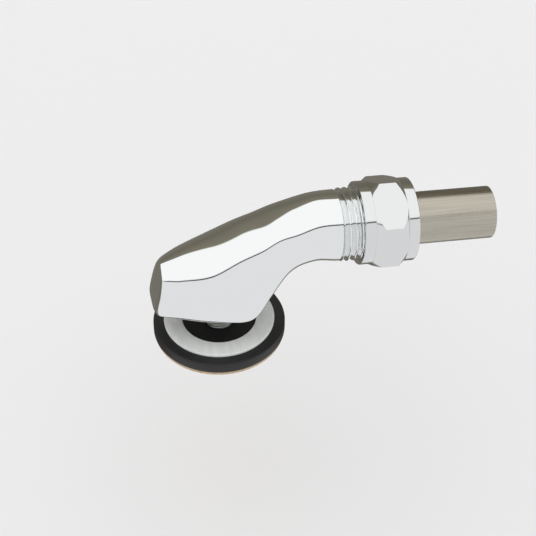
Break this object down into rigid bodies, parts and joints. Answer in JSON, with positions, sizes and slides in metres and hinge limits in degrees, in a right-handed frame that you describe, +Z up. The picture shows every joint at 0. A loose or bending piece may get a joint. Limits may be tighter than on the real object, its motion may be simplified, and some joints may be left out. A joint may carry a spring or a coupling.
{
  "type": "urinal flush spreader",
  "caption": "Exposed urinal flush spreader: chromed cast body with threaded neck, compression nut and pipe, on a stud with rubber, polythene and fibre washers and a backnut.",
  "frame": {"origin": "centre of the flat sole, on the axis of the fixing stud", "axes": "+Z up along the stud, +X from the stud towards the supply pipe, +Y across the body"},
  "size_m": [0.0995, 0.0384, 0.0569],
  "materials": {
    "body_chrome": "polished chromium plate on cast brass",
    "nut_chrome": "chromium plate on turned brass",
    "brass": "turned, unplated",
    "satin_pipe": "satin, drawn and brushed along",
    "stud_steel": "zinc plated, rolled thread",
    "white_polythene": "cut from sheet, dull",
    "black_rubber": "moulded, dull",
    "tan_fibre": "pressed fibre sheet"
  },
  "bodies": {
    "root": {"spreader_body": "body_chrome", "compression_nut": "nut_chrome", "olive": "brass", "supply_pipe": "satin_pipe", "fixing_stud": "stud_steel", "polythene_washer": "white_polythene", "rubber_washer": "black_rubber", "fibre_washer": "tan_fibre", "backnut": "brass"}
  },
  "joints": []
}
